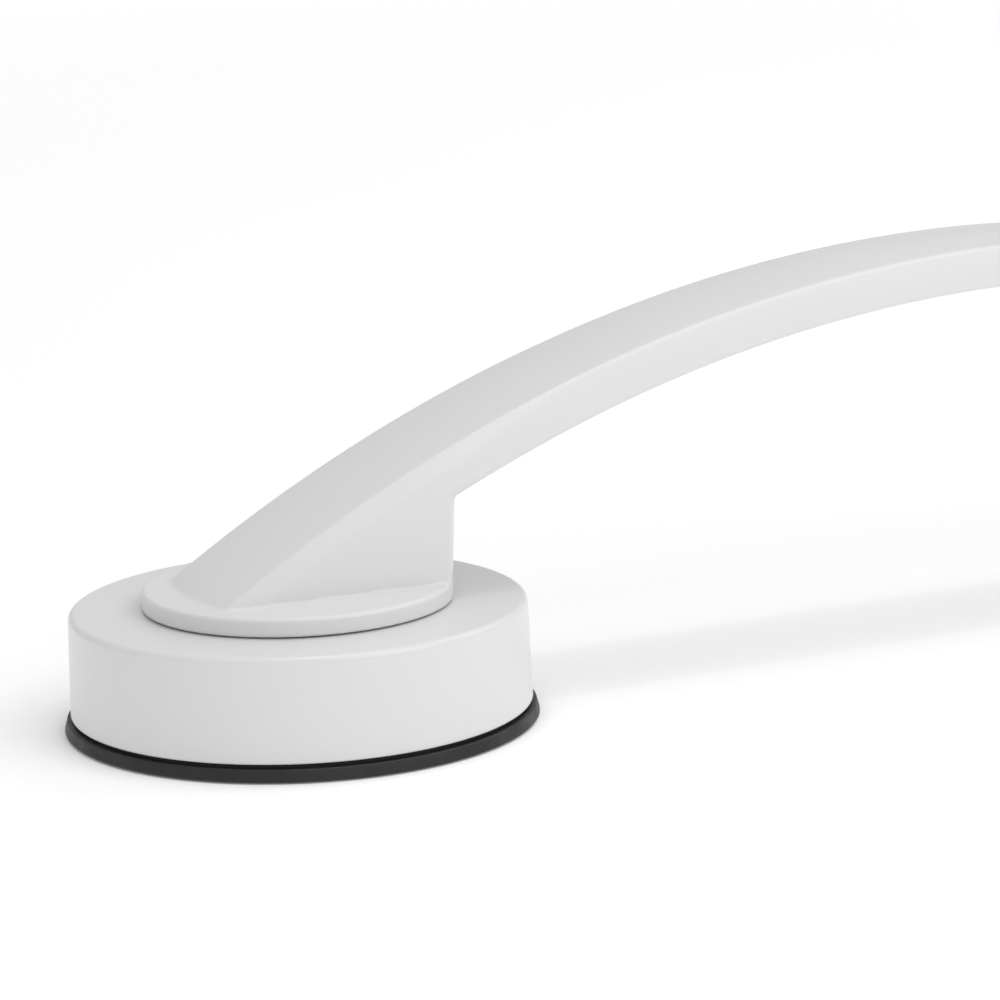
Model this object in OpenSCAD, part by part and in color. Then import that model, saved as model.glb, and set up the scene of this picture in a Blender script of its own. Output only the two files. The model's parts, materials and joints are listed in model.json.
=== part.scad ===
/* [Bar] */
// Distance between the two cup centres (mm)
cup_spacing = 267; // [230:1:330]
// Height of the grip's top edge at mid-span (mm)
grip_top_z = 67.9; // [62:0.1:76]
// Radius of the grip's top edge along the bar (mm)
grip_top_r = 277.5; // [260:0.5:320]
// Radius of the grip's under face along the bar (mm)
grip_under_r = 265; // [245:1:300]
// Grip thickness at mid-span (mm)
grip_thick = 7.25; // [7:0.05:10]
// Width across the grip's top face (mm)
grip_face_w = 24.6; // [20:0.2:27]
// Width across the grip's side walls just under the bevel (mm)
grip_w = 27.2; // [24:0.2:32]
// Draft of the side walls, wider with depth below the top face (degrees)
side_draft = 5.5; // [0:0.5:8]
// Lean of the leg's inner wall towards mid-span (degrees)
leg_lean = 2.5; // [0:0.5:4]
// Depth of the bevel between the top face and the side wall (mm)
bevel_h = 3; // [1:0.1:4]
// Rise of the crown in the middle of the top face (mm)
crown_h = 0.9; // [0:0.1:1.5]

/* [Walls] */
// Thickness of the grip's top skin (mm)
skin_t = 2.6; // [2:0.1:3.5]
// Thickness of the grip's side walls (mm)
wall_t = 2.3; // [2:0.1:3]
// Thickness of the under cover (mm)
cover_t = 2; // [1.6:0.1:2.6]

/* [Flange] */
// Flange radius (mm)
flange_r = 25.5; // [24:0.1:28]
// Underside of the flange above the wall (mm)
flange_z = 20; // [19.9:0.1:22]
// Flange thickness (mm)
flange_t = 3; // [2.5:0.1:4]

/* [Locking cap] */
// Cap radius at its foot (mm)
cap_r = 38; // [35:0.1:42]
// Cap radius at its top edge (mm)
cap_top_r = 37.6; // [34:0.1:42]
// Cap foot above the wall (mm)
cap_foot_z = 2.65; // [2.5:0.05:3.5]
// Cap top above the wall (mm)
cap_top_z = 19.7; // [19:0.1:21]
// Cap web thickness (mm)
cap_web_t = 2.7; // [2:0.1:3.2]
// Cap skirt thickness (mm)
cap_skirt_t = 2.4; // [2:0.1:3]
// Rounding of the cap's top edge (mm)
cap_round = 1.1; // [0.5:0.1:2]

/* [Lift screw] */
// Turn of the cap from unlocked to locked (degrees)
lock_turn = 240; // [180:10:260]
// Lead of the two-start lift thread (mm per turn)
lift_lead = 6; // [4:0.5:8]
// Outside radius of the lift thread (mm)
thread_r = 7; // [6:0.1:8]
// Depth of the lift thread (mm)
thread_d = 1.1; // [0.8:0.1:1.4]

/* [Suction pad] */
// Pad lip radius (mm)
pad_r = 39.1; // [36:0.1:43]
// Thickness of the pad membrane (mm)
pad_t = 2.2; // [1.6:0.1:3]

/* [Hidden] */
$fn = 128;
eps = 0.01;
cup_x = cup_spacing / 2;
top_cz = grip_top_z - grip_top_r;
under_cz = grip_top_z - grip_thick - grip_under_r;
half_w = grip_w / 2;
half_face = grip_face_w / 2;
half_in = half_w - wall_t;
wide_w = half_w + 12;
crown_r = (half_face * half_face + crown_h * crown_h) / (2 * crown_h);
flange_top = flange_z + flange_t;
web_z = cap_top_z - cap_web_t;
hub_r = 13.95;
spigot_r = 10.95;
washer_r = 24.2;
screw_pcd = 12.2;
key_r = 4;
key_half = 2.8;
slide_gap = 0.3;
nut_z = 9.9;
nut_plate_t = 3.1;
nut_top = 16.5;
barrel_r = 9.2;
nut_screw_pcd = 28;
ret_z = 14.2;
ret_top = web_z - slide_gap;
ret_r = 20;
lug_r = 23;
lug_half = 8;
stop_gap = 1;
stem_z = 4.4;
thread_top = 15.5;
stem_top = 23.5;
plate_z = 2.9;
ring_top = cap_foot_z - slide_gap;
ring_z = 1.5;

// ---- placing the two cups: the same parts, turned half round for the right end
module at_left() {
  translate([-cup_x, 0, 0]) children();
}

module at_right() {
  rotate([0, 0, 180]) translate([-cup_x, 0, 0]) children();
}

// ---- grip
module arch_band(rt, hw, hf, bevel, deep) {
  translate([0, 0, top_cz])
    rotate([90, 0, 0])
      rotate([0, 0, 53])
        rotate_extrude(angle = 74, $fn = 240)
          intersection() {
            polygon([
              [rt - deep, -hw - (deep - bevel) * tan(side_draft)], [rt - bevel, -hw], [rt, -hf],
              [rt + 4, -hf], [rt + 4, hf], [rt, hf],
              [rt - bevel, hw], [rt - deep, hw + (deep - bevel) * tan(side_draft)]
            ]);
            translate([rt + crown_h - crown_r, 0]) circle(r = crown_r, $fn = 360);
          }
}

module arch_outer() {
  arch_band(grip_top_r, half_w, half_face, bevel_h, 60);
}

module arch_inner() {
  arch_band(grip_top_r - skin_t, half_in, half_in - 1.5, 1.5, 60);
}

// the leg's inner wall: a cone that stands on the flange's rim and opens upwards
module leg_wall(grow) {
  translate([-cup_x, 0, flange_z + 1])
    cylinder(r1 = flange_r + grow, r2 = flange_r + grow + 40 * tan(leg_lean), h = 40);
}

// drum about the centre of the grip's under face
module under_drum(r, w) {
  translate([0, 0, under_cz])
    rotate([90, 0, 0])
      cylinder(r = r, h = w, center = true, $fn = 360);
}

module cover_screw_places() {
  for (a = [-19, -7, 7, 19])
    translate([0, 0, under_cz])
      rotate([0, a, 0])
        children();
}

module retainer_screw_places() {
  for (a = [0, 120, 240])
    rotate([0, 0, a])
      translate([screw_pcd, 0, 0])
        children();
}

module leg_outer() {
  intersection() {
    arch_outer();
    leg_wall(0);
  }
}

module leg_cavity() {
  intersection() {
    arch_inner();
    translate([-cup_x, 0, flange_top]) cylinder(r = flange_r - 2.5, h = 40);
  }
}

module flange_disc() {
  rotate_extrude()
    difference() {
      square([flange_r, flange_t]);
      difference() {
        translate([flange_r - 1, flange_t - 1]) square([2, 2]);
        translate([flange_r - 1, flange_t - 1]) circle(r = 1, $fn = 64);
      }
    }
}

module span_outer() {
  difference() {
    intersection() {
      arch_outer();
      translate([-cup_x, -wide_w, flange_top]) cube([2 * cup_x, 2 * wide_w, 60]);
    }
    under_drum(grip_under_r, 2 * wide_w + 2);
  }
}

module span_cavity() {
  difference() {
    intersection() {
      arch_inner();
      translate([-cup_x, -wide_w, flange_z + 1.5]) cube([2 * cup_x, 2 * wide_w, 90]);
    }
    leg_wall(0);
    mirror([1, 0, 0]) leg_wall(0);
  }
}

module span_ribs() {
  difference() {
    intersection() {
      arch_inner();
      for (x = [-99, -72, -45, -15, 15, 45, 72, 99])
        translate([x - 0.8, -half_in - 1.5, 20]) cube([1.6, 2 * half_in + 3, 60]);
    }
    under_drum(grip_under_r + 0.3 + cover_t, 2 * wide_w + 2);
  }
}

module leg_details() {
  difference() {
    union() {
      translate([-cup_x, 0, flange_z]) flange_disc();
      intersection() {
        translate([-cup_x, 0, flange_z + 1])
          retainer_screw_places()
            cylinder(r = 3, h = 5, $fn = 48);
        translate([-cup_x, 0, flange_z]) cylinder(r = flange_r - 1, h = 40);
        arch_outer();
      }
    }
    translate([-cup_x, 0, flange_z - 1]) cylinder(r = spigot_r + 0.05, h = flange_t + 4.6);
    translate([-cup_x, 0, flange_z - 1]) difference() {
      cylinder(r = washer_r + 0.1, h = 1.8);
      cylinder(r = 14.9, h = 1.8);
    }
  }
}

module grip_shell() {
  color("white")
    difference() {
      union() {
        difference() {
          union() {
            leg_outer();
            mirror([1, 0, 0]) leg_outer();
            span_outer();
          }
          leg_cavity();
          mirror([1, 0, 0]) leg_cavity();
          span_cavity();
          for (sx = [-1, 1])
            translate([sx * cup_x, 0, flange_z]) cylinder(r = flange_r - 2.5, h = flange_t + eps);
        }
        leg_details();
        rotate([0, 0, 180]) leg_details();
        span_ribs();
        intersection() {
          arch_outer();
          cover_screw_places()
            translate([0, 0, grip_under_r + 0.3 + cover_t])
              cylinder(r = 2.6, h = 4.2, $fn = 48);
        }
      }
      cover_screw_places()
        translate([0, 0, grip_under_r + 0.3 + cover_t - 1])
          cylinder(r = 1.05, h = 4.8, $fn = 32);
      for (a = [0, 180])
        rotate([0, 0, a])
          translate([-cup_x, 0, flange_z - 1])
            retainer_screw_places()
              cylinder(r = 1.25, h = 6.7, $fn = 32);
    }
}

module grip_cover() {
  color("white")
    difference() {
      intersection() {
        difference() {
          under_drum(grip_under_r + 0.3 + cover_t, 2 * half_in - 0.3);
          under_drum(grip_under_r + 0.3, 2 * half_in + 4);
          leg_wall(0.2);
          mirror([1, 0, 0]) leg_wall(0.2);
        }
        translate([-cup_x, -half_w, 25]) cube([2 * cup_x, 2 * half_w, 60]);
      }
      cover_screw_places()
        translate([0, 0, grip_under_r - 1]) {
          cylinder(r = 1.2, h = 6, $fn = 32);
          cylinder(r = 2.2, h = 2.6, $fn = 48);
        }
    }
}

module cover_screws() {
  color("silver")
    cover_screw_places()
      translate([0, 0, grip_under_r + 0.4])
        difference() {
          union() {
            cylinder(r = 2, h = 1.2, $fn = 48);
            cylinder(r = 1.03, h = 5.2, $fn = 32);
          }
          translate([-1.2, -0.25, -1]) cube([2.4, 0.5, 1.6]);
          translate([-0.25, -1.2, -1]) cube([0.5, 2.4, 1.6]);
        }
}

// ---- cup parts, modelled about the cup's own axis
module hub() {
  color("gainsboro")
    difference() {
      union() {
        translate([0, 0, ret_top]) cylinder(r = hub_r, h = flange_z - ret_top);
        translate([0, 0, ret_top]) cylinder(r = spigot_r, h = 24.5 - ret_top);
      }
      translate([0, 0, ret_top - 1]) cylinder(r = thread_r + 0.8, h = 19.8 - ret_top + 1);
      intersection() {
        cylinder(r = key_r + slide_gap, h = 40, $fn = 64);
        translate([-10, -key_half - slide_gap, 0]) cube([20, 2 * (key_half + slide_gap), 40]);
      }
      translate([0, 0, ret_top - 1])
        retainer_screw_places()
          cylinder(r = 1.4, h = 12, $fn = 32);
    }
}

module thrust_washer() {
  color("gainsboro")
    translate([0, 0, cap_top_z + 0.1])
      difference() {
        cylinder(r = washer_r, h = flange_z + 0.7 - cap_top_z);
        translate([0, 0, -1]) cylinder(r = 15, h = 4);
      }
}

module retainer() {
  color("gainsboro")
    difference() {
      union() {
        translate([0, 0, ret_z]) cylinder(r = ret_r, h = ret_top - ret_z);
        translate([0, 0, ret_z])
          rotate([0, 0, 180 - lug_half])
            rotate_extrude(angle = 2 * lug_half)
              translate([ret_r - 1, 0]) square([lug_r - ret_r + 1, ret_top - ret_z]);
      }
      translate([0, 0, ret_z - 1]) cylinder(r = barrel_r + 0.4, h = 6);
      retainer_screw_places() {
        translate([0, 0, ret_z - 1]) cylinder(r = 1.4, h = 6, $fn = 32);
        translate([0, 0, ret_z - 1]) cylinder(r = 2.4, h = 2.4, $fn = 48);
      }
    }
}

module retainer_screws() {
  color("silver")
    retainer_screw_places()
      translate([0, 0, ret_z + 0.1])
        difference() {
          union() {
            cylinder(r = 2.2, h = 1.3, $fn = 48);
            cylinder(r = 1.23, h = 11.4, $fn = 32);
          }
          translate([-1.3, -0.3, -1]) cube([2.6, 0.6, 1.7]);
          translate([-0.3, -1.3, -1]) cube([0.6, 2.6, 1.7]);
        }
}

module cap_body() {
  rotate_extrude()
    difference() {
      polygon([
        [14, web_z], [cap_top_r - cap_skirt_t, web_z], [cap_r - cap_skirt_t, cap_foot_z],
        [cap_r, cap_foot_z], [cap_top_r, cap_top_z], [14, cap_top_z]
      ]);
      difference() {
        translate([cap_top_r - cap_round, cap_top_z - cap_round]) square([3, 3]);
        translate([cap_top_r - cap_round, cap_top_z - cap_round]) circle(r = cap_round, $fn = 64);
      }
    }
}

module lock_cap() {
  color("white")
    difference() {
      union() {
        cap_body();
        for (a = [45, 135, 225, 315])
          rotate([0, 0, a])
            translate([nut_screw_pcd, 0, nut_z + nut_plate_t])
              cylinder(r = 3.2, h = web_z - nut_z - nut_plate_t + 1, $fn = 48);
        for (a = [0 : 22.5 : 359])
          rotate([0, 0, a + 11.25])
            translate([24.2, -0.7, nut_z + nut_plate_t + 0.8])
              cube([11.8, 1.4, web_z - nut_z - nut_plate_t]);
        translate([0, 0, ret_z + 0.3])
          rotate([0, 0, 180 - lug_half - stop_gap - (360 - lock_turn - 2 * lug_half - 2 * stop_gap)])
            rotate_extrude(angle = 360 - lock_turn - 2 * lug_half - 2 * stop_gap)
              translate([ret_r + 0.4, 0]) square([lug_r - ret_r, web_z - ret_z + 0.2]);
      }
      for (a = [45, 135, 225, 315])
        rotate([0, 0, a])
          translate([nut_screw_pcd, 0, nut_z])
            cylinder(r = 1.25, h = 7.6, $fn = 32);
    }
}

function tooth(p, crest) =
  p < crest / 2 ? 1 :
  p < crest / 2 + 0.12 ? 1 - (p - crest / 2) / 0.12 :
  0;

// cross-section of the two-start thread
module thread_section(root, tip, crest) {
  polygon([
    for (i = [0 : 39])
      let (
        p = abs(((i * 9) % 180) / 180 - 0.5),
        r = root + (tip - root) * tooth(p, crest)
      )
      [r * cos(i * 9), r * sin(i * 9)]
  ]);
}

module thread_bar(root, tip, crest, z0, z1) {
  h = z1 - z0;
  rotate([0, 0, 360 * z0 / lift_lead])
    translate([0, 0, z0])
      linear_extrude(height = h, twist = -360 * h / lift_lead, slices = ceil(h * 2.5), $fn = 40)
        thread_section(root, tip, crest);
}

module drive_nut() {
  color("dimgray")
    difference() {
      union() {
        translate([0, 0, nut_z]) cylinder(r = 31.5, h = nut_plate_t);
        translate([0, 0, nut_z]) cylinder(r = barrel_r, h = nut_top - nut_z);
      }
      thread_bar(thread_r - thread_d + 0.3, thread_r + 0.3, 0.5, nut_z - 1, nut_top + 1);
      for (a = [45, 135, 225, 315])
        rotate([0, 0, a])
          translate([nut_screw_pcd, 0, nut_z - 1])
            cylinder(r = 1.4, h = 6, $fn = 32);
    }
}

module nut_screws() {
  color("silver")
    for (a = [45, 135, 225, 315])
      rotate([0, 0, a])
        translate([nut_screw_pcd, 0, nut_z - 1.4])
          difference() {
            union() {
              cylinder(r = 2.3, h = 1.4, $fn = 48);
              cylinder(r = 1.23, h = 8.4, $fn = 32);
            }
            translate([-1.3, -0.3, -1]) cube([2.6, 0.6, 1.8]);
            translate([-0.3, -1.3, -1]) cube([0.6, 2.6, 1.8]);
          }
}

module lift_stem() {
  color("silver")
    difference() {
      union() {
        translate([0, 0, stem_z]) cylinder(r = 8, h = 1.1);
        thread_bar(thread_r - thread_d, thread_r, 0.3, stem_z + 0.6, thread_top);
        intersection() {
          translate([0, 0, stem_z + 0.6]) cylinder(r = key_r, h = stem_top - stem_z - 0.6, $fn = 64);
          translate([-10, -key_half, 0]) cube([20, 2 * key_half, 40]);
        }
      }
      translate([0, 0, stem_z - 1]) cylinder(r = 1.65, h = 10, $fn = 32);
    }
}

module lift_plate() {
  color("silver")
    translate([0, 0, plate_z])
      difference() {
        cylinder(r = 13, h = stem_z - plate_z);
        translate([0, 0, -1]) cylinder(r = 2.1, h = 4, $fn = 48);
      }
}

module stem_screw() {
  color("silver")
    difference() {
      union() {
        translate([0, 0, plate_z - 1.1]) cylinder(r = 3.6, h = 1.1, $fn = 48);
        translate([0, 0, plate_z - 1.1]) cylinder(r = 1.63, h = 8.5, $fn = 32);
      }
      translate([0, 0, plate_z - 2]) cylinder(r = 1.3, h = 1.6, $fn = 6);
    }
}

module slip_ring() {
  color("dimgray")
    rotate_extrude()
      translate([35.7, ring_z]) square([1.6, ring_top - ring_z]);
}

module suction_pad() {
  color("black")
    difference() {
      rotate_extrude()
        polygon([
          [0, 0.5], [31.5, 0.5], [32.5, 0], [pad_r - 0.2, 0], [pad_r, 0.2], [pad_r - 0.3, 1.2],
          [pad_r - 0.5, 2.1], [37.4, 2.1], [37.4, ring_z], [35.6, ring_z], [34.8, ring_z],
          [33, 0.5 + pad_t], [15.5, 0.5 + pad_t], [14.6, 5.4], [0, 5.4]
        ]);
      translate([0, 0, plate_z]) cylinder(r = 13, h = stem_z - plate_z);
      translate([0, 0, plate_z]) cylinder(r = 8, h = 4);
      translate([0, 0, plate_z - 1.1]) cylinder(r = 3.6, h = 2, $fn = 48);
    }
}

module left_hub() { at_left() hub(); }
module left_thrust_washer() { at_left() thrust_washer(); }
module left_retainer() { at_left() retainer(); }
module left_retainer_screws() { at_left() retainer_screws(); }
module left_lock_cap() { at_left() lock_cap(); }
module left_drive_nut() { at_left() drive_nut(); }
module left_nut_screws() { at_left() nut_screws(); }
module left_slip_ring() { at_left() slip_ring(); }
module left_lift_stem() { at_left() lift_stem(); }
module left_lift_plate() { at_left() lift_plate(); }
module left_stem_screw() { at_left() stem_screw(); }
module left_suction_pad() { at_left() suction_pad(); }
module right_hub() { at_right() hub(); }
module right_thrust_washer() { at_right() thrust_washer(); }
module right_retainer() { at_right() retainer(); }
module right_retainer_screws() { at_right() retainer_screws(); }
module right_lock_cap() { at_right() lock_cap(); }
module right_drive_nut() { at_right() drive_nut(); }
module right_nut_screws() { at_right() nut_screws(); }
module right_slip_ring() { at_right() slip_ring(); }
module right_lift_stem() { at_right() lift_stem(); }
module right_lift_plate() { at_right() lift_plate(); }
module right_stem_screw() { at_right() stem_screw(); }
module right_suction_pad() { at_right() suction_pad(); }

grip_shell();
grip_cover();
cover_screws();
left_hub();
left_thrust_washer();
left_retainer();
left_retainer_screws();
left_lock_cap();
left_drive_nut();
left_nut_screws();
left_slip_ring();
left_lift_stem();
left_lift_plate();
left_stem_screw();
left_suction_pad();
right_hub();
right_thrust_washer();
right_retainer();
right_retainer_screws();
right_lock_cap();
right_drive_nut();
right_nut_screws();
right_slip_ring();
right_lift_stem();
right_lift_plate();
right_stem_screw();
right_suction_pad();
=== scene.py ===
import json
import math
import bmesh
import bpy
import numpy as np
from mathutils import Matrix, Vector


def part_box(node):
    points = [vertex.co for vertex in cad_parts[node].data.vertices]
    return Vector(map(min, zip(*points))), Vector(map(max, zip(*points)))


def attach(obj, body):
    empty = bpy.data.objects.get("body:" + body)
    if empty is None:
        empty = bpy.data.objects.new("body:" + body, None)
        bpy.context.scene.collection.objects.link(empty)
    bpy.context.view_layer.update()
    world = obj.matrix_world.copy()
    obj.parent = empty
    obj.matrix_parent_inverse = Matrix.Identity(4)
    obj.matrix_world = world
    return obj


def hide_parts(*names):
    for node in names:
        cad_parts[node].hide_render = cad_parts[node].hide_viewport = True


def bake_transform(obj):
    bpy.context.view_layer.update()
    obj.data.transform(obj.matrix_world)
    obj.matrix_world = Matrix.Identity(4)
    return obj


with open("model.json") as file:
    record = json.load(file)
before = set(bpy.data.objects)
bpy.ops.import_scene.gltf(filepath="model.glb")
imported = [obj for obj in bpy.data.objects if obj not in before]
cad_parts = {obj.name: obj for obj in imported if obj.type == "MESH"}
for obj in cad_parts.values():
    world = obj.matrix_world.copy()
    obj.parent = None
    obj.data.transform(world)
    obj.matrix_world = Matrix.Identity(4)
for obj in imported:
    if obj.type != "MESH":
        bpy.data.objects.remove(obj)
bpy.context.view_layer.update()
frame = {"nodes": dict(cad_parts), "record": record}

MM = 0.001


# ------------------------------------------------------------------ sizes, from the CAD boxes, in mm
def mm_box(node):
    lo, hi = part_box(node)
    return np.array(lo) / MM, np.array(hi) / MM


shell_lo, shell_hi = mm_box("grip_shell")
cover_lo, cover_hi = mm_box("grip_cover")
cap_lo, cap_hi = mm_box("left_lock_cap")
pad_lo, pad_hi = mm_box("left_suction_pad")
washer_lo, washer_hi = mm_box("left_thrust_washer")
plate_lo, plate_hi = mm_box("left_lift_plate")
HUB_TOP = mm_box("left_hub")[1][2]
RING_BOTTOM = mm_box("left_slip_ring")[0][2]
NUT_BOTTOM = mm_box("left_drive_nut")[0][2]
RETAINER_BOTTOM = mm_box("left_retainer")[0][2]
STEM_SCREW_BOTTOM = mm_box("left_stem_screw")[0][2]

CUP = -(pad_lo[0] + pad_hi[0]) / 2  # from the middle of the bar to each cup axis

# the flange at the foot of each leg
FLANGE_R = shell_hi[0] - CUP
FLANGE_Z = shell_lo[2]
FLANGE_T = 3.0
FLANGE_TOP = FLANGE_Z + FLANGE_T

# the arc of the grip and its section
CROWN = 0.9
TOP = shell_hi[2] - CROWN
TOP_R = 277.5
UNDER_R = 265.0
THICK = 7.25
HALF_W = 13.6
HALF_FACE = 12.3
BEVEL = 3.0
DRAFT = math.tan(math.radians(5.5))
LEAN = math.tan(math.radians(2.5))
TOP_C = TOP - TOP_R
UNDER_C = TOP - THICK - UNDER_R

# the hollow inside it
SKIN = 2.6
WALL = 2.3
POST_R = 3.0
POST_H = 5.0
POST_CIRCLE = 12.2
SPIGOT_R = 11.0
SEAT_IN_R = 14.9
RIB_PLACES = (15, 45, 72, 99)
RIB_HALF_T = 0.8
COVER_SCREWS = (7, 19)  # degrees round the grip's arc from its middle

# the cups
CAP_R = (cap_hi[0] - cap_lo[0]) / 2
CAP_TOP_R = CAP_R - 0.4
CAP_SKIN = 2.7
CAP_WALL = 2.4
NUT_SEAT = NUT_BOTTOM + 3.1
PAD_R = (pad_hi[0] - pad_lo[0]) / 2


# ------------------------------------------------------------------ distance fields
def smax(a, b, k):
    """The larger of two fields, with the corner between them rounded over a width k."""
    h = np.maximum(k - np.abs(a - b), 0.0) / k
    return np.maximum(a, b) + h * h * k * 0.25


def smin(a, b, k):
    return -smax(-a, -b, k)


def band(x, y, z, rt, hw, hf, bevel, crown, soft):
    """The grip's section carried round its arc: crowned top face, sloping bevel, drafted sides."""
    rho = np.sqrt(x * x + (z - TOP_C) ** 2)
    ay = np.abs(y)
    side = (ay - hw - (rt - bevel - rho) * DRAFT) * math.cos(math.atan(DRAFT))
    run = math.hypot(hw - hf, bevel)
    slope = ((rho - rt) * (hw - hf) + (ay - hf) * bevel) / run
    rc = (hf * hf + crown * crown) / (2 * crown)
    top = np.sqrt((rho - rt - crown + rc) ** 2 + y * y) - rc
    return smax(top, smax(side, slope, soft), 0.5)


def drum(x, y, r, cx=0.0, cy=0.0):
    """An endless upright cylinder."""
    return np.sqrt((x - cx) ** 2 + (y - cy) ** 2) - r


def from_screw(x, y, z, turn):
    """Distance from a cover screw's axis, which points at the arc's middle, turn degrees from the top."""
    c, s = math.cos(math.radians(turn)), math.sin(math.radians(turn))
    side = np.abs(x) * c - (z - UNDER_C) * s
    return np.sqrt(side * side + y * y)


def leg_and_arch(x, y, z, wall):
    """The arch cut by its underside, but for the leg below it; the bevel's edges soften along the span."""
    ax = -np.abs(x)
    arch = band(x, y, z, TOP_R, HALF_W, HALF_FACE, BEVEL, CROWN, 0.2 + 2.2 * np.clip(wall / 25, 0, 1))
    under = smax(UNDER_R - np.sqrt(x * x + (z - UNDER_C) ** 2), -CUP - ax, 0.2)
    below = smin(under, smax(wall, FLANGE_Z + 1 - z, 0.2), 0.5)
    return smax(arch, below, 0.6 + 1.8 * np.clip(wall - under + 0.5, 0, 1))


def leg_room(x, y, z, inner):
    """The hollow leg, with three screw posts standing in it."""
    ax = -np.abs(x)
    room = smax(smax(inner, drum(ax, y, FLANGE_R - 2.5, -CUP), 0.8), FLANGE_TOP - z, 0.4)
    room = smax(room, -SPIGOT_R - CUP - ax, 0.6)
    sx = np.where(x > 0, CUP - x, x + CUP)
    for a in (0, 120, 240):
        c, s = POST_CIRCLE * math.cos(math.radians(a)), POST_CIRCLE * math.sin(math.radians(a))
        post = smax(drum(sx, y, POST_R, c, s), z - FLANGE_TOP - POST_H, 0.3)
        room = smax(room, -post, 0.4)
    return room


def span_channel(x, y, z, inner, wall):
    """The open channel under the span, which the cover closes, less its ribs and screw posts."""
    chan = smax(inner, -wall, 0.4)
    ribs = np.full_like(x, 1e3)
    for rx in RIB_PLACES:
        ribs = np.minimum(ribs, np.abs(np.abs(x) - rx) - RIB_HALF_T)
    for t in COVER_SCREWS:
        ribs = np.minimum(ribs, from_screw(x, y, z, t) - 2.6)
    ribs = smax(ribs, UNDER_R + 2.3 - np.sqrt(x * x + (z - UNDER_C) ** 2), 0.2)
    return smax(chan, -ribs, 0.4)


def grip_field(x, y, z):
    ax = -np.abs(x)
    cyl = drum(ax, y, FLANGE_R, -CUP)
    wall = (cyl - np.maximum(z - FLANGE_Z - 1, 0) * LEAN) * math.cos(math.atan(LEAN))
    body = leg_and_arch(x, y, z, wall)
    # round flange with a rolled top edge and a small break at its lower edge
    flange = smax(smax(cyl, z - FLANGE_TOP, 0.8), FLANGE_Z - z, 0.15)
    body = smin(body, flange, 0.4)
    inner = band(x, y, z, TOP_R - SKIN, HALF_W - WALL, HALF_W - WALL - 1.5, 1.5, CROWN, 1.0)
    body = smax(body, -leg_room(x, y, z, inner), 0.3)
    # hole for the hub's spigot, and the washer's seat under the flange
    body = smax(body, -smax(drum(ax, y, SPIGOT_R, -CUP), z - HUB_TOP - 0.2, 0.1), 0.2)
    seat_out = (washer_hi[0] - washer_lo[0]) / 2 + 0.1
    seat = smax(np.maximum(SEAT_IN_R - cyl - FLANGE_R, cyl + FLANGE_R - seat_out), z - washer_hi[2], 0.1)
    body = smax(body, -seat, 0.2)
    return smax(body, -span_channel(x, y, z, inner, wall), 0.4)


def cover_field(x, y, z):
    """A curved strip that ends against both legs, with countersunk screw holes."""
    rho = np.sqrt(x * x + (z - UNDER_C) ** 2)
    d = smax(rho - UNDER_R - 2.28, UNDER_R + 0.3 - rho, 0.3)
    d = smax(d, np.abs(y) - (cover_hi[1] - 0.02), 0.9)
    wall = drum(-np.abs(x), y, FLANGE_R + 0.22, -CUP) - np.maximum(z - FLANGE_Z - 1, 0) * LEAN
    d = smax(d, -wall, 0.7)
    d = smax(d, np.abs(x) - CUP, 0.1)
    for t in COVER_SCREWS:
        r = from_screw(x, y, z, t)
        d = smax(d, -(r - 1.22), 0.1)
        d = smax(d, -smax(r - 2.22, rho - UNDER_R - 1.58, 0.1), 0.3)
    return d


def gradient(field, p, h=0.01):
    g = np.empty_like(p)
    for i in range(3):
        d = np.zeros(3)
        d[i] = h
        g[:, i] = (field(*(p + d).T) - field(*(p - d).T)) / (2 * h)
    return g / np.maximum(np.linalg.norm(g, axis=1), 1e-9)[:, None]


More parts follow.
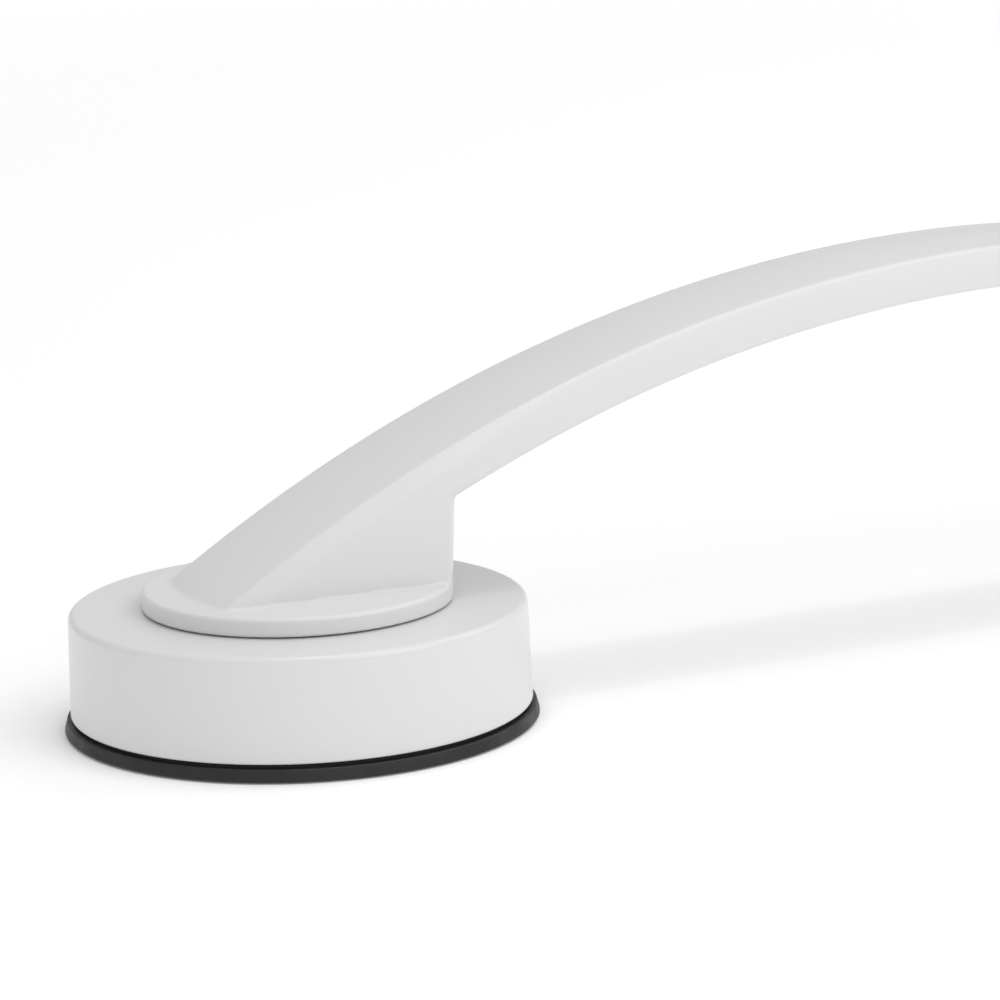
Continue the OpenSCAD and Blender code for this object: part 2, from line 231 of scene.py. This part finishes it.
def skin(field, lo, hi, step):
    """A closed quad mesh on the field's zero surface. Each grid cell's point sits where the planes
    found on its crossed edges meet, so flat faces stay flat and narrow edges stay straight."""
    lo, hi = np.array(lo, float), np.array(hi, float)
    n = np.ceil((hi - lo) / step).astype(int) + 1
    ax = [lo[i] + step * np.arange(n[i]) for i in range(3)]
    f = np.empty(tuple(n), np.float32)
    for i in range(0, n[0], 32):
        f[i:i + 32] = field(*np.meshgrid(ax[0][i:i + 32], ax[1], ax[2], indexing="ij"))
    s = f < 0
    m = n - 1
    acc = np.zeros(tuple(m), np.uint8)
    for dx in (0, 1):
        for dy in (0, 1):
            for dz in (0, 1):
                acc += s[dx:m[0] + dx, dy:m[1] + dy, dz:m[2] + dz]
    where = np.stack(np.nonzero((acc > 0) & (acc < 8)), 1)
    idx = -np.ones(tuple(m), np.int64)
    idx[tuple(where.T)] = np.arange(len(where))
    sums = np.zeros((13, len(where)))
    quads = []
    for a in range(3):
        b, c = (a + 1) % 3, (a + 2) % 3
        first, last = [slice(None)] * 3, [slice(None)] * 3
        first[a], last[a] = slice(0, n[a] - 1), slice(1, n[a])
        s0 = s[tuple(first)]
        e = np.stack(np.nonzero(s0 != s[tuple(last)]), 1)
        e = e[(e[:, b] > 0) & (e[:, c] > 0) & (e[:, b] < m[b]) & (e[:, c] < m[c])]
        e1 = e.copy()
        e1[:, a] += 1
        f0, f1 = f[tuple(e.T)].astype(float), f[tuple(e1.T)].astype(float)
        pt = lo + step * e
        pt[:, a] += step * f0 / (f0 - f1)
        g = gradient(field, pt)
        gp = (g * pt).sum(1)
        rows = [g[:, 0] ** 2, g[:, 0] * g[:, 1], g[:, 0] * g[:, 2], g[:, 1] ** 2, g[:, 1] * g[:, 2],
                g[:, 2] ** 2, g[:, 0] * gp, g[:, 1] * gp, g[:, 2] * gp, pt[:, 0], pt[:, 1], pt[:, 2],
                np.ones(len(pt))]
        v = []
        for ob, oc in ((1, 1), (0, 1), (0, 0), (1, 0)):
            p = e.copy()
            p[:, b] -= ob
            p[:, c] -= oc
            v.append(idx[tuple(p.T)])
            for k, row in enumerate(rows):
                sums[k] += np.bincount(v[-1], row, len(where))
        v = np.stack(v, 1)
        quads.append(np.where(s0[tuple(e.T)][:, None], v, v[:, ::-1]))
    mass = (sums[9:12] / sums[12]).T
    w = 0.05 * sums[12]
    mat = np.empty((len(where), 3, 3))
    for k, (i, j) in enumerate(((0, 0), (0, 1), (0, 2), (1, 1), (1, 2), (2, 2))):
        mat[:, i, j] = mat[:, j, i] = sums[k]
    mat += w[:, None, None] * np.eye(3)
    pts = np.linalg.solve(mat, (sums[6:9].T + w[:, None] * mass)[:, :, None])[:, :, 0]
    corner = lo + step * where
    pts = np.clip(pts, corner - 0.05 * step, corner + 1.05 * step)
    g = gradient(field, pts)
    pts = pts - np.clip(field(*pts.T), -0.3 * step, 0.3 * step)[:, None] * g
    return pts, np.concatenate(quads), gradient(field, pts)


def mesh_object(name, pts, faces, normals=None, sharp=35):
    me = bpy.data.meshes.new(name)
    pts = np.asarray(pts, float) * MM
    if isinstance(faces, np.ndarray):
        nf = len(faces)
        me.vertices.add(len(pts))
        me.vertices.foreach_set("co", pts.astype(np.float32).ravel())
        me.loops.add(nf * 4)
        me.loops.foreach_set("vertex_index", faces.astype(np.int32).ravel())
        me.polygons.add(nf)
        me.polygons.foreach_set("loop_start", np.arange(0, nf * 4, 4, dtype=np.int32))
        me.update(calc_edges=True)
    else:
        me.from_pydata([tuple(p) for p in pts], [], faces)
        bm = bmesh.new()
        bm.from_mesh(me)
        bmesh.ops.recalc_face_normals(bm, faces=bm.faces)
        bm.to_mesh(me)
        bm.free()
    me.validate()
    me.polygons.foreach_set("use_smooth", [True] * len(me.polygons))
    if normals is None:
        me.set_sharp_from_angle(angle=math.radians(sharp))
    else:
        me.normals_split_custom_set_from_vertices([tuple(v) for v in normals])
    o = bpy.data.objects.new(name, me)
    bpy.context.scene.collection.objects.link(o)
    return o


# ------------------------------------------------------------------ turned parts
def rounded(points, radii, n=8):
    """A closed outline with each corner rolled to its own radius."""
    out, m = [], len(points)
    for i, (p, r) in enumerate(zip(points, radii)):
        p = np.array(p, float)
        a, b = np.array(points[i - 1], float), np.array(points[(i + 1) % m], float)
        if r <= 0:
            out.append(tuple(p))
            continue
        u, v = (a - p) / np.linalg.norm(a - p), (b - p) / np.linalg.norm(b - p)
        half = math.acos(max(-1, min(1, float(u @ v)))) / 2
        t = min(r / math.tan(half), 0.49 * np.linalg.norm(a - p), 0.49 * np.linalg.norm(b - p))
        r = t * math.tan(half)
        c = p + (u + v) / np.linalg.norm(u + v) * (r / math.sin(half))
        s, e = p + u * t - c, p + v * t - c
        turn = math.atan2(s[0] * e[1] - s[1] * e[0], float(s @ e))
        for k in range(n + 1):
            w = turn * k / n
            out.append((c[0] + s[0] * math.cos(w) - s[1] * math.sin(w),
                        c[1] + s[0] * math.sin(w) + s[1] * math.cos(w)))
    return out


def lathe(profile, cx, seg=256):
    """Turns a closed (radius, height) outline round the cup axis; outline points on the axis are shared."""
    m = len(profile)
    pts, ring = [], []
    for r, z in profile:
        if r < 1e-6:
            ring.append([len(pts)] * seg)
            pts.append((cx, 0, z))
        else:
            ring.append(list(range(len(pts), len(pts) + seg)))
            pts += [(cx + r * math.cos(2 * math.pi * i / seg), r * math.sin(2 * math.pi * i / seg), z)
                    for i in range(seg)]
    faces = []
    for j in range(m):
        a, b = ring[j], ring[(j + 1) % m]
        if profile[j][0] < 1e-6 and profile[(j + 1) % m][0] < 1e-6:
            continue
        for i in range(seg):
            k = (i + 1) % seg
            f = []
            for v in (a[i], a[k], b[k], b[i]):
                if v not in f:
                    f.append(v)
            faces.append(f)
    return pts, faces


def add(parts, more):
    pts, faces = parts
    base = len(pts)
    pts += more[0]
    faces += [[v + base for v in f] for f in more[1]]


def boss(cx, cy, r, z0, z1, seg=32):
    """A short upright screw boss with a rolled lower end."""
    prof = [(r, z1), (r, z0 + 0.3), (r - 0.1, z0 + 0.08), (r - 0.3, z0), (1.3, z0), (1.3, z1)]
    pts, faces = lathe(prof, 0, seg)
    return [(x + cx, y + cy, z) for x, y, z in pts], faces


def block(cx, ang, r0, r1, w, z0, z1):
    """A rib along a radius, thinner at its lower edge."""
    c, s = math.cos(ang), math.sin(ang)
    pts = []
    for z, ww in ((z0, w * 0.8), (z1, w)):
        for r, t in ((r0, -ww / 2), (r1, -ww / 2), (r1, ww / 2), (r0, ww / 2)):
            pts.append((cx + r * c - t * s, r * s + t * c, z))
    return pts, [[3, 2, 1, 0], [4, 5, 6, 7], [0, 1, 5, 4], [1, 2, 6, 5], [2, 3, 7, 6], [3, 0, 4, 7]]


def sector(cx, a0, a1, r0, r1, z0, z1, n=40):
    """A piece of a ring from a0 to a1 degrees."""
    pts, faces = [], []
    for i in range(n + 1):
        a = math.radians(a0 + (a1 - a0) * i / n)
        for r, z in ((r0, z0), (r1, z0), (r1, z1), (r0, z1)):
            pts.append((cx + r * math.cos(a), r * math.sin(a), z))
    for i in range(n):
        for k in range(4):
            j = (k + 1) % 4
            faces.append([i * 4 + k, (i + 1) * 4 + k, (i + 1) * 4 + j, i * 4 + j])
    faces += [[0, 1, 2, 3], [n * 4 + 3, n * 4 + 2, n * 4 + 1, n * 4]]
    return pts, faces


# ------------------------------------------------------------------ materials
def node_material(name):
    m = bpy.data.materials.new(name)
    m.use_nodes = True
    nt = m.node_tree
    nt.nodes.clear()
    out = nt.nodes.new("ShaderNodeOutputMaterial")
    sh = nt.nodes.new("ShaderNodeBsdfPrincipled")
    nt.links.new(sh.outputs["BSDF"], out.inputs["Surface"])
    tc = nt.nodes.new("ShaderNodeTexCoord")
    return m, nt, sh, tc.outputs["Object"]


def noise(nt, co, scale, detail=3.0, rough=0.5):
    n = nt.nodes.new("ShaderNodeTexNoise")
    n.inputs["Scale"].default_value = scale
    n.inputs["Detail"].default_value = detail
    n.inputs["Roughness"].default_value = rough
    nt.links.new(co, n.inputs["Vector"])
    return n.outputs["Fac"]


def ramp(nt, fac, stops):
    r = nt.nodes.new("ShaderNodeValToRGB")
    el = r.color_ramp.elements
    while len(el) < len(stops):
        el.new(0.5)
    for e, (p, c) in zip(el, stops):
        e.position = p
        e.color = (*c, 1) if len(c) == 3 else (c[0], c[0], c[0], 1)
    nt.links.new(fac, r.inputs["Fac"])
    return r.outputs["Color"]


def bump(nt, sh, heights):
    last = None
    for fac, dist in heights:
        b = nt.nodes.new("ShaderNodeBump")
        b.inputs["Strength"].default_value = 1.0
        b.inputs["Distance"].default_value = dist
        nt.links.new(fac, b.inputs["Height"])
        if last is not None:
            nt.links.new(last, b.inputs["Normal"])
        last = b.outputs["Normal"]
    nt.links.new(last, sh.inputs["Normal"])


def moulded(name, dark, light, rough, grain=0.00001):
    """Moulded plastic: drifting colour, satin gloss that varies, faint flow and pimple texture."""
    m, nt, sh, co = node_material(name)
    drift = noise(nt, co, 14, 2, 0.5)
    nt.links.new(ramp(nt, drift, [(0.3, dark), (0.7, light)]), sh.inputs["Base Color"])
    rub = noise(nt, co, 55, 4, 0.6)
    nt.links.new(ramp(nt, rub, [(0.3, (rough - 0.03,)), (0.75, (rough + 0.04,))]), sh.inputs["Roughness"])
    bump(nt, sh, [(noise(nt, co, 900, 2, 0.6), grain), (noise(nt, co, 60, 2, 0.5), grain * 1.5)])
    sh.inputs["IOR"].default_value = 1.5
    return m, sh


def white_plastic(name):
    m, sh = moulded(name, (0.735, 0.735, 0.73), (0.755, 0.755, 0.752), 0.3)
    sh.inputs["Coat Weight"].default_value = 0.15
    sh.inputs["Coat Roughness"].default_value = 0.2
    return m


def rubber_material():
    m, nt, sh, co = node_material("pad_rubber")
    bloom = noise(nt, co, 90, 5, 0.65)
    nt.links.new(ramp(nt, bloom, [(0.35, (0.006, 0.006, 0.0062)), (0.75, (0.014, 0.014, 0.0143))]),
                 sh.inputs["Base Color"])
    rub = noise(nt, co, 260, 3, 0.6)
    nt.links.new(ramp(nt, rub, [(0.3, (0.42,)), (0.7, (0.58,))]), sh.inputs["Roughness"])
    bump(nt, sh, [(noise(nt, co, 1500, 2, 0.6), 0.000012), (noise(nt, co, 130, 2, 0.5), 0.00002)])
    sh.inputs["IOR"].default_value = 1.52
    return m


def steel_material(name, base, lathe_marks):
    m, nt, sh, co = node_material(name)
    sh.inputs["Metallic"].default_value = 1.0
    nt.links.new(ramp(nt, noise(nt, co, 300, 4, 0.6),
                      [(0.3, (base - 0.05,) * 3), (0.7, (base + 0.04,) * 3)]), sh.inputs["Base Color"])
    w = nt.nodes.new("ShaderNodeTexWave")
    w.bands_direction = "Z"
    w.inputs["Scale"].default_value = lathe_marks
    w.inputs["Distortion"].default_value = 1.5
    nt.links.new(co, w.inputs["Vector"])
    nt.links.new(ramp(nt, w.outputs["Fac"], [(0.0, (0.24,)), (1.0, (0.36,))]), sh.inputs["Roughness"])
    bump(nt, sh, [(w.outputs["Fac"], 0.000005), (noise(nt, co, 900, 2, 0.5), 0.000004)])
    return m


BY_SLOT = {
    "white_abs": white_plastic("white_abs"),
    "cap_abs": white_plastic("cap_abs"),
    "pad_rubber": rubber_material(),
    "grey_nylon": moulded("grey_nylon", (0.5, 0.5, 0.49), (0.56, 0.56, 0.55), 0.5, 0.00002)[0],
    "black_acetal": moulded("black_acetal", (0.012, 0.012, 0.013), (0.022, 0.022, 0.023), 0.42)[0],
    "stem_zinc": steel_material("stem_zinc", 0.55, 500),
    "screw_steel": steel_material("screw_steel", 0.62, 900),
}
slot_of = {s["node"]: s["material_slot"] for s in frame["record"]["subparts"]}
for node, obj in frame["nodes"].items():
    obj.data.materials.clear()
    obj.data.materials.append(BY_SLOT[slot_of[node]])


def finish_piece(obj, node, body):
    obj.data.materials.append(BY_SLOT[slot_of[node]])
    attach(obj, body)
    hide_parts(node)
    return obj


# ------------------------------------------------------------------ the grip and its cover
step = 0.45
span = CUP + FLANGE_R + 2
grip = mesh_object("grip", *skin(grip_field, (-span, -FLANGE_R - 2.013, FLANGE_Z - 2.017),
                                 (span, FLANGE_R + 2, TOP + 3), step))
finish_piece(grip, "grip_shell", "bar")
cover = mesh_object("under_cover", *skin(cover_field, (cover_lo - 1.013), (cover_hi + 1.017),
                                         0.4))
finish_piece(cover, "grip_cover", "bar")


# ------------------------------------------------------------------ cups
def cap_mesh(cx, turn):
    """An open cap with four nut bosses, radial ribs and the stop that meets the retainer's lug."""
    z0, z1 = cap_lo[2], cap_hi[2]
    web = z1 - CAP_SKIN
    outline = [(14.0, z1), (14.0, web), (CAP_TOP_R - CAP_WALL, web), (CAP_R - CAP_WALL, z0), (CAP_R, z0),
               (CAP_TOP_R, z1)]
    prof = rounded(outline, [0.25, 0.25, 0.8, 0.3, 0.35, 1.2], 10)
    parts = lathe(prof, cx)
    for k in range(4):
        a = math.radians(45 + 90 * k + turn)
        add(parts, boss(cx + 28 * math.cos(a), 28 * math.sin(a), 3.2, NUT_SEAT, web + 0.5))
    for k in range(16):
        a = math.radians(11.25 + 22.5 * k + turn)
        add(parts, block(cx, a, 24.2, CAP_TOP_R - 2.0, 1.4, 13.8, web + 0.4))
    add(parts, sector(cx, 69 + turn, 171 + turn, 20.4, 23.4, RETAINER_BOTTOM + 0.3, web + 0.4))
    return parts


def pad_outline():
    """Grooved sealing face, flared lip, a shelf for the slip ring, and a crown round the lift plate."""
    z = RING_BOTTOM
    top = pad_hi[2]
    s0, s1 = STEM_SCREW_BOTTOM, plate_lo[2]
    p1 = plate_hi[2]
    outer = [
        (0, 0.5), (6, 0.5), (6.6, 0.75), (7.2, 0.5), (14, 0.5), (14.6, 0.75), (15.2, 0.5), (22, 0.5),
        (22.6, 0.75), (23.2, 0.5), (31.5, 0.5), (32.6, 0.02), (34.4, 0.0), (34.8, 0.22), (35.2, 0.0),
        (PAD_R - 0.4, 0.0), (PAD_R - 0.01, 0.2), (PAD_R - 0.3, 1.2), (PAD_R - 0.5, 2.06), (37.42, 2.08),
        (37.38, z), (35.6, z), (34.8, z), (33, 2.7), (15.5, 2.7), (14.6, top), (8.0, top),
    ]
    radii = [0, 0.2, 0.2, 0.2, 0.2, 0.2, 0.2, 0.2, 0.2, 0.2, 0.5, 0.3, 0.1, 0.1, 0.1,
             0.2, 0.25, 0.25, 0.3, 0.15, 0, 0, 0.3, 0.6, 0.6, 0.5, 0.3]
    inner = [(8.0, p1), (13.0, p1), (13.0, s1), (3.6, s1), (3.6, s0), (0, s0)]
    return rounded(outer + inner, radii + [0] * 6, 5)


for side, sx in (("left", -1), ("right", 1)):
    cx = sx * CUP
    turn = 0 if sx < 0 else 180
    cap = mesh_object(side + "_cap", *cap_mesh(cx, turn), sharp=40)
    finish_piece(cap, side + "_lock_cap", side + "_cap")
    pad = mesh_object(side + "_pad", *lathe(pad_outline(), cx), sharp=50)
    pad.data.materials.append(BY_SLOT["pad_rubber"])
    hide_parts(side + "_suction_pad")
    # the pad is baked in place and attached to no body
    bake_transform(pad)


# ------------------------------------------------------------------ floor, light and camera
floor_m, nt, sh, co = node_material("floor")
paper = noise(nt, co, 1.5, 2, 0.5)
nt.links.new(ramp(nt, paper, [(0.3, (0.965,)), (0.7, (0.975,))]), sh.inputs["Base Color"])
# a white sweep: it glows a little near the bar and more with distance, where the lamps fall away
scaled = nt.nodes.new("ShaderNodeMapping")
scaled.inputs["Scale"].default_value = (0.4, 0.4, 0.4)
nt.links.new(co, scaled.inputs["Vector"])
fall = nt.nodes.new("ShaderNodeTexGradient")
fall.gradient_type = "SPHERICAL"
nt.links.new(scaled.outputs["Vector"], fall.inputs["Vector"])
nt.links.new(ramp(nt, fall.outputs["Fac"], [(0.0, (0.62,)), (1.0, (0.07,))]), sh.inputs["Emission Color"])
sh.inputs["Emission Strength"].default_value = 1.0
sh.inputs["Roughness"].default_value = 0.9
sh.inputs["Specular IOR Level"].default_value = 0.1
fm = bpy.data.meshes.new("floor")
fm.from_pydata([(-9, -9, 0), (9, -9, 0), (9, 9, 0), (-9, 9, 0)], [], [(0, 1, 2, 3)])
floor = bpy.data.objects.new("floor", fm)
floor.location.z = -0.0002
fm.materials.append(floor_m)
bpy.context.scene.collection.objects.link(floor)

world = bpy.data.worlds.new("world")
bpy.context.scene.world = world
world.use_nodes = True
bg = world.node_tree.nodes["Background"]
bg.inputs["Color"].default_value = (1, 1, 1, 1)
bg.inputs["Strength"].default_value = 0.57


def area(name, place, target, size, power):
    d = bpy.data.lights.new(name, "AREA")
    d.shape = "RECTANGLE"
    d.size, d.size_y = size
    d.energy = power
    o = bpy.data.objects.new(name, d)
    bpy.context.scene.collection.objects.link(o)
    o.location = place
    o.rotation_mode = "QUATERNION"
    o.rotation_quaternion = (Vector(target) - Vector(place)).to_track_quat("-Z", "Y")
    return o


# the camera stands CAM_AWAY mm from the left cup, CAM_SIDE degrees round it, CAM_HIGH mm up; it looks
# AIM degrees to the right of straight at the bar's front, PITCH down and ROLL about its own axis
CAM_AWAY = 638.21
CAM_SIDE = 22.793
CAM_HIGH = 171.683
AIM = 25.81
PITCH = 12.057
ROLL = -1.878


def around(az, el, dist, target=(0, 0, 0.03)):
    """A place at az degrees to the right of the camera's side and el above the floor."""
    a = math.radians(AIM - az)
    e = math.radians(el)
    way = Vector((-math.sin(a) * math.cos(e), -math.cos(a) * math.cos(e), math.sin(e)))
    return Vector(target) + way * dist


for name, az, el, dist, size, power in (
        ("key", 48, 42, 1.1, (0.7, 0.7), 3.0),
        ("front", 15, 12, 1.4, (0.9, 0.4), 0.4),
        ("overhead", 20, 85, 1.2, (0.8, 0.8), 2.6),
        ("spot", 0, 86, 1.3, (0.05, 0.05), 0.8),
        ("rear", 120, 45, 1.2, (0.7, 0.7), 1.85)):
    area(name, around(az, el, dist), (-0.1, 0, 0.03), size, power)

cam_data = bpy.data.cameras.new("camera")
cam = bpy.data.objects.new("camera", cam_data)
bpy.context.scene.collection.objects.link(cam)
cam_data.sensor_width = 36
cam_data.lens = 144
cam_data.clip_start, cam_data.clip_end = 0.01, 50
a, p, r = math.radians(AIM), math.radians(PITCH), math.radians(ROLL)
side_az = math.radians(CAM_SIDE)
forward = Vector((math.sin(a) * math.cos(p), math.cos(a) * math.cos(p), -math.sin(p)))
right = Vector((math.cos(a), -math.sin(a), 0))
up = right.cross(forward)
right, up = right * math.cos(r) + up * math.sin(r), up * math.cos(r) - right * math.sin(r)
place = Vector((-CUP - CAM_AWAY * math.sin(side_az), -CAM_AWAY * math.cos(side_az), CAM_HIGH)) * MM
cam.matrix_world = Matrix(((right.x, up.x, -forward.x, place.x), (right.y, up.y, -forward.y, place.y),
                           (right.z, up.z, -forward.z, place.z), (0, 0, 0, 1)))
bpy.context.scene.camera = cam
bpy.context.scene.view_settings.view_transform = "Standard"
